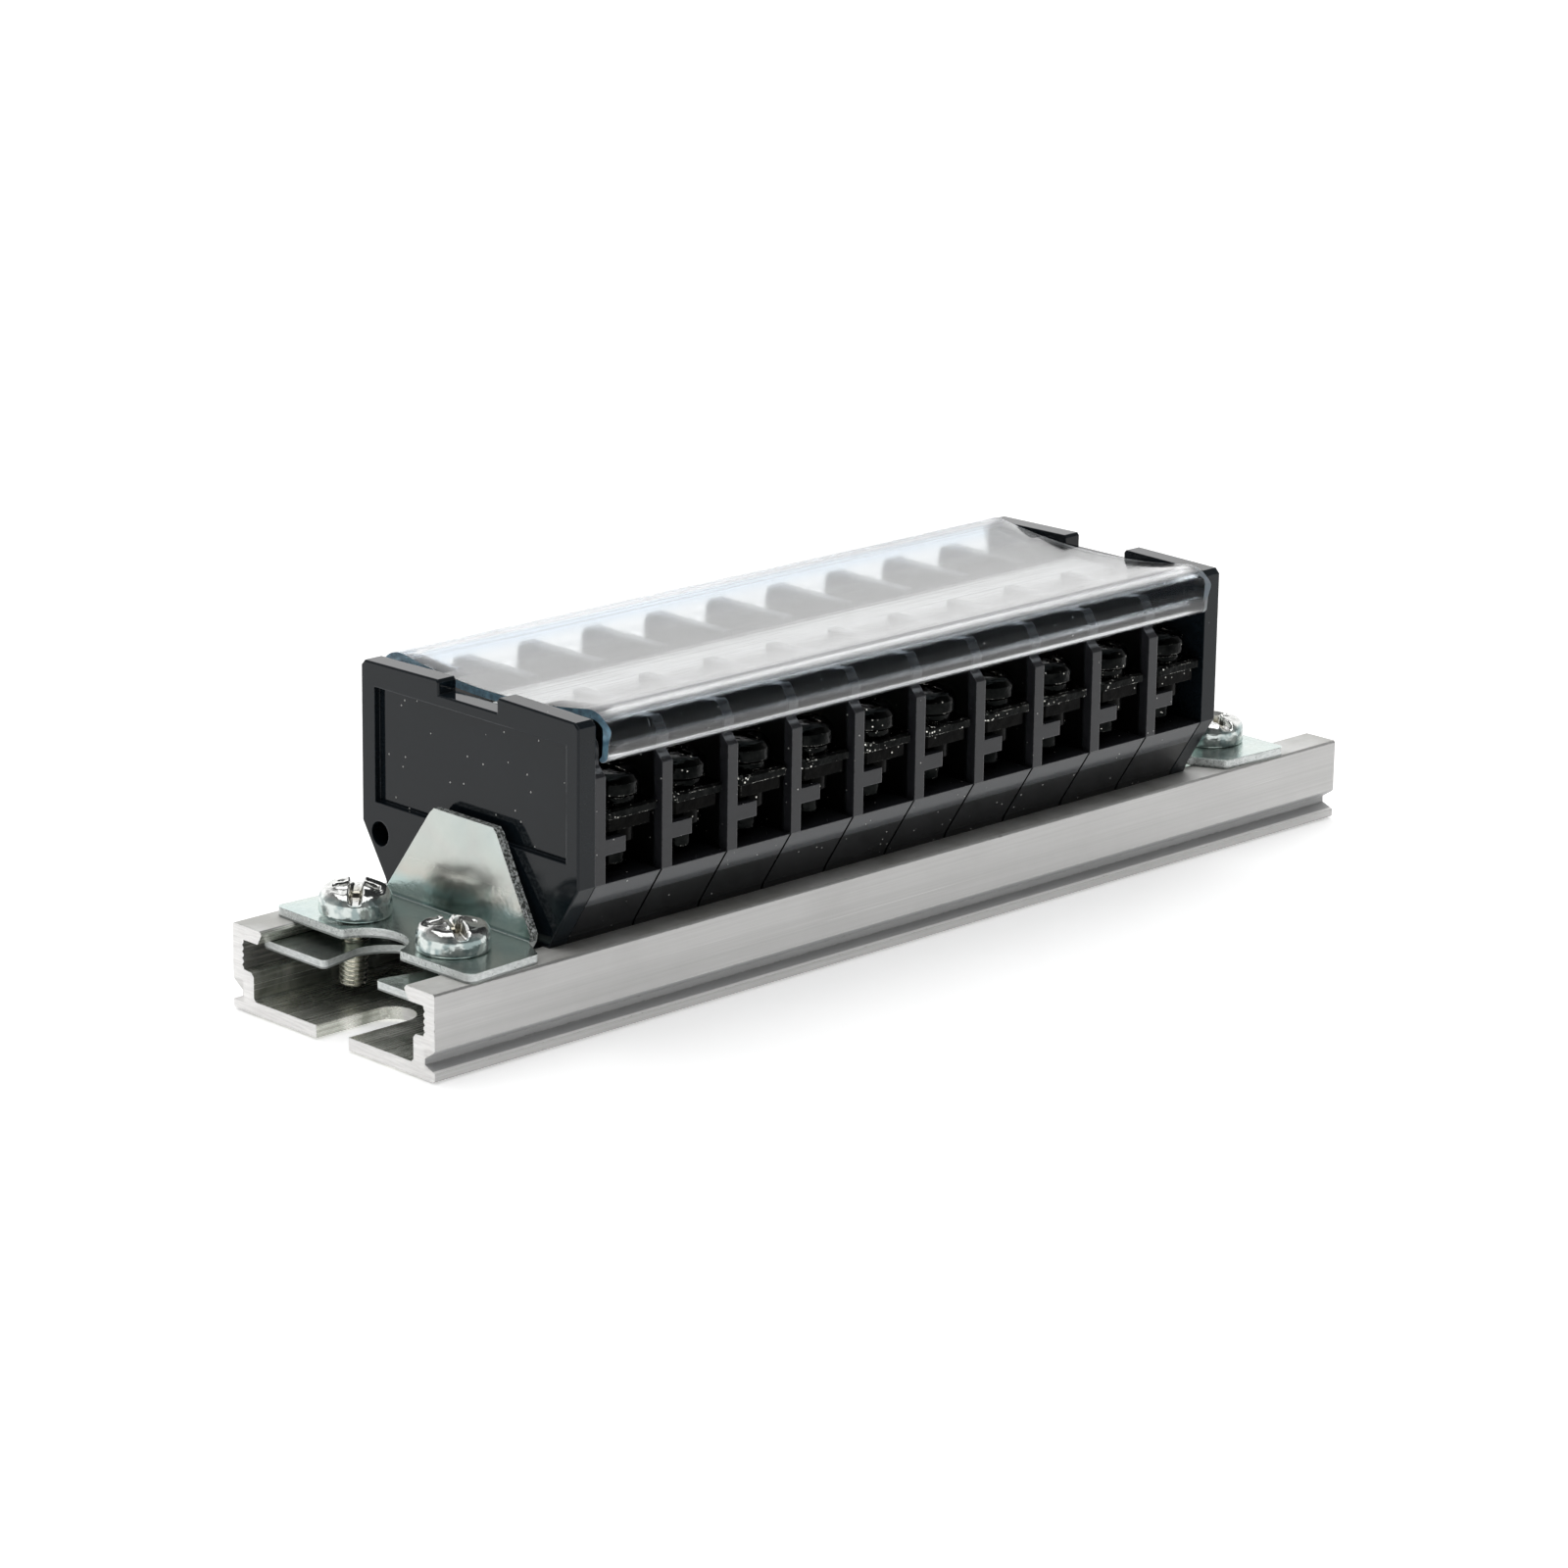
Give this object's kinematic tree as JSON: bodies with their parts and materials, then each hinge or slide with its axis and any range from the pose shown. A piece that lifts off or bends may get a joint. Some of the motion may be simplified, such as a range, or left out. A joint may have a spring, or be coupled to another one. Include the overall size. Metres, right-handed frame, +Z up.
{
  "type": "terminal block",
  "caption": "Rail-mounted barrier terminal block: black moulded poles with screw clamps between end plates on a short slotted C-rail, end brackets at both ends and a clear lift-off cover.",
  "frame": {"origin": "middle of the rail's underside", "axes": "+X along the rail, -Y towards the front row of terminals, +Z up, away from the mounting surface"},
  "size_m": [0.1344, 0.0348, 0.0334],
  "materials": {
    "housing_plastic": "moulded, semi-gloss",
    "plate_plastic": "moulded, satin",
    "rail_aluminium": "as extruded, sawn ends",
    "conductor_brass": "tin-plated",
    "terminal_steel": "nickel-plated",
    "bracket_zinc": "bright zinc-plated",
    "clamp_zinc": "bright zinc-plated",
    "screw_zinc": "bright zinc-plated",
    "cover_clear": "clear extruded, faintly hazy",
    "marker_white": "matt"
  },
  "bodies": {
    "block": {"rail": "rail_aluminium", "module_housing_01": "housing_plastic", "module_housing_02": "housing_plastic", "module_housing_03": "housing_plastic", "module_housing_04": "housing_plastic", "module_housing_05": "housing_plastic", "module_housing_06": "housing_plastic", "module_housing_07": "housing_plastic", "module_housing_08": "housing_plastic", "module_housing_09": "housing_plastic", "module_housing_10": "housing_plastic", "conductor_bar_01": "conductor_brass", "conductor_bar_02": "conductor_brass", "conductor_bar_03": "conductor_brass", "conductor_bar_04": "conductor_brass", "conductor_bar_05": "conductor_brass", "conductor_bar_06": "conductor_brass", "conductor_bar_07": "conductor_brass", "conductor_bar_08": "conductor_brass", "conductor_bar_09": "conductor_brass", "conductor_bar_10": "conductor_brass", "end_plate_left": "plate_plastic", "end_plate_right": "plate_plastic", "marker_strip": "marker_white", "end_bracket_left": "bracket_zinc", "end_bracket_right": "bracket_zinc", "clamp_plate_left": "clamp_zinc", "clamp_plate_right": "clamp_zinc", "bracket_screws_left": "screw_zinc", "bracket_screws_right": "screw_zinc"},
    "cover": {"cover": "cover_clear"},
    "screw_front_01": {"terminal_screw_front_01": "terminal_steel"},
    "screw_front_02": {"terminal_screw_front_02": "terminal_steel"},
    "screw_front_03": {"terminal_screw_front_03": "terminal_steel"},
    "screw_front_04": {"terminal_screw_front_04": "terminal_steel"},
    "screw_front_05": {"terminal_screw_front_05": "terminal_steel"},
    "screw_front_06": {"terminal_screw_front_06": "terminal_steel"},
    "screw_front_07": {"terminal_screw_front_07": "terminal_steel"},
    "screw_front_08": {"terminal_screw_front_08": "terminal_steel"},
    "screw_front_09": {"terminal_screw_front_09": "terminal_steel"},
    "screw_front_10": {"terminal_screw_front_10": "terminal_steel"},
    "screw_back_01": {"terminal_screw_back_01": "terminal_steel"},
    "screw_back_02": {"terminal_screw_back_02": "terminal_steel"},
    "screw_back_03": {"terminal_screw_back_03": "terminal_steel"},
    "screw_back_04": {"terminal_screw_back_04": "terminal_steel"},
    "screw_back_05": {"terminal_screw_back_05": "terminal_steel"},
    "screw_back_06": {"terminal_screw_back_06": "terminal_steel"},
    "screw_back_07": {"terminal_screw_back_07": "terminal_steel"},
    "screw_back_08": {"terminal_screw_back_08": "terminal_steel"},
    "screw_back_09": {"terminal_screw_back_09": "terminal_steel"},
    "screw_back_10": {"terminal_screw_back_10": "terminal_steel"}
  },
  "joints": [
    {"name": "cover_lift", "type": "slide", "parent": "block", "child": "cover", "axis": [0, 0, 1], "range_m": [0, 0.02]},
    {"name": "screw_front_01_lift", "type": "slide", "parent": "block", "child": "screw_front_01", "axis": [0, 0, 1], "range_m": [0, 0.0015]},
    {"name": "screw_front_02_lift", "type": "slide", "parent": "block", "child": "screw_front_02", "axis": [0, 0, 1], "range_m": [0, 0.0015]},
    {"name": "screw_front_03_lift", "type": "slide", "parent": "block", "child": "screw_front_03", "axis": [0, 0, 1], "range_m": [0, 0.0015]},
    {"name": "screw_front_04_lift", "type": "slide", "parent": "block", "child": "screw_front_04", "axis": [0, 0, 1], "range_m": [0, 0.0015]},
    {"name": "screw_front_05_lift", "type": "slide", "parent": "block", "child": "screw_front_05", "axis": [0, 0, 1], "range_m": [0, 0.0015]},
    {"name": "screw_front_06_lift", "type": "slide", "parent": "block", "child": "screw_front_06", "axis": [0, 0, 1], "range_m": [0, 0.0015]},
    {"name": "screw_front_07_lift", "type": "slide", "parent": "block", "child": "screw_front_07", "axis": [0, 0, 1], "range_m": [0, 0.0015]},
    {"name": "screw_front_08_lift", "type": "slide", "parent": "block", "child": "screw_front_08", "axis": [0, 0, 1], "range_m": [0, 0.0015]},
    {"name": "screw_front_09_lift", "type": "slide", "parent": "block", "child": "screw_front_09", "axis": [0, 0, 1], "range_m": [0, 0.0015]},
    {"name": "screw_front_10_lift", "type": "slide", "parent": "block", "child": "screw_front_10", "axis": [0, 0, 1], "range_m": [0, 0.0015]},
    {"name": "screw_back_01_lift", "type": "slide", "parent": "block", "child": "screw_back_01", "axis": [0, 0, 1], "range_m": [0, 0.0015]},
    {"name": "screw_back_02_lift", "type": "slide", "parent": "block", "child": "screw_back_02", "axis": [0, 0, 1], "range_m": [0, 0.0015]},
    {"name": "screw_back_03_lift", "type": "slide", "parent": "block", "child": "screw_back_03", "axis": [0, 0, 1], "range_m": [0, 0.0015]},
    {"name": "screw_back_04_lift", "type": "slide", "parent": "block", "child": "screw_back_04", "axis": [0, 0, 1], "range_m": [0, 0.0015]},
    {"name": "screw_back_05_lift", "type": "slide", "parent": "block", "child": "screw_back_05", "axis": [0, 0, 1], "range_m": [0, 0.0015]},
    {"name": "screw_back_06_lift", "type": "slide", "parent": "block", "child": "screw_back_06", "axis": [0, 0, 1], "range_m": [0, 0.0015]},
    {"name": "screw_back_07_lift", "type": "slide", "parent": "block", "child": "screw_back_07", "axis": [0, 0, 1], "range_m": [0, 0.0015]},
    {"name": "screw_back_08_lift", "type": "slide", "parent": "block", "child": "screw_back_08", "axis": [0, 0, 1], "range_m": [0, 0.0015]},
    {"name": "screw_back_09_lift", "type": "slide", "parent": "block", "child": "screw_back_09", "axis": [0, 0, 1], "range_m": [0, 0.0015]},
    {"name": "screw_back_10_lift", "type": "slide", "parent": "block", "child": "screw_back_10", "axis": [0, 0, 1], "range_m": [0, 0.0015]}
  ]
}
